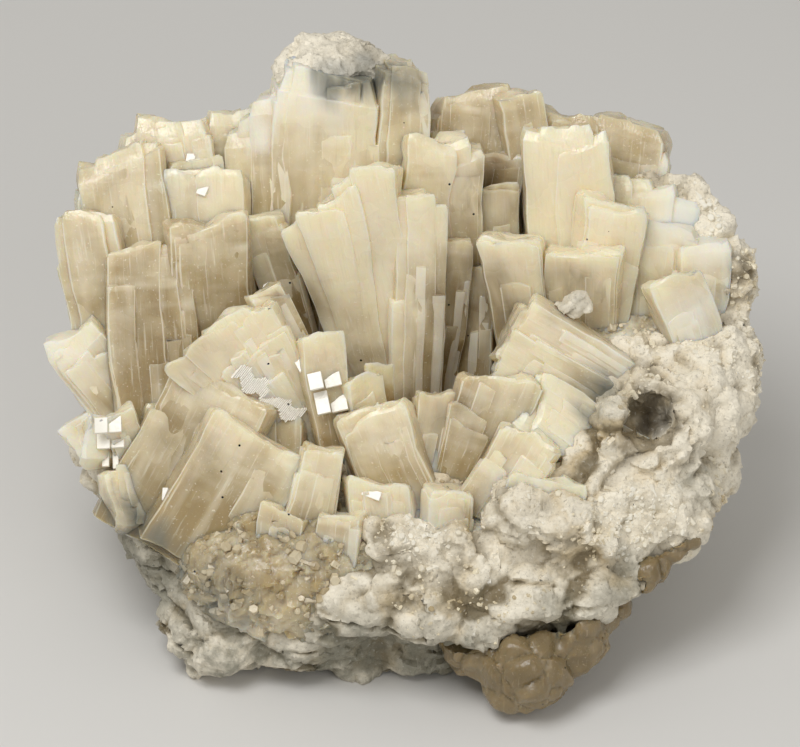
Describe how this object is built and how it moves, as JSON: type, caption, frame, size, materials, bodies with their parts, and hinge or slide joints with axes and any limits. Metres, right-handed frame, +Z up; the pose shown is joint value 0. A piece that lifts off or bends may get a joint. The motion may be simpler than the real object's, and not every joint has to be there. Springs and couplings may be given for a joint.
{
  "type": "witherite specimen",
  "caption": "Mineral specimen: milky, blocky witherite crystals fanning out of a hollow in pale rock, standing on its flat worn base.",
  "frame": {"origin": "the middle of the flat base that the specimen stands on", "axes": "+X to the right as the display side is faced, +Y to the back, +Z up; the display side looks forward and up"},
  "size_m": [0.1442, 0.1064, 0.103],
  "materials": {
    "pale_rock": "rough chalky rock, white to grey, in thin ledges",
    "witherite": "milky cream to tan crystal with a waxy lustre and fine growth lines",
    "tan_witherite": "smooth rounded tan crystal with a waxy lustre",
    "white_crust": "dull white crust"
  },
  "bodies": {
    "root": {"matrix": "pale_rock", "witherite_crystals": "witherite", "underside_nodules": "tan_witherite", "tower_crust": "white_crust", "crumb": "white_crust"}
  },
  "joints": []
}
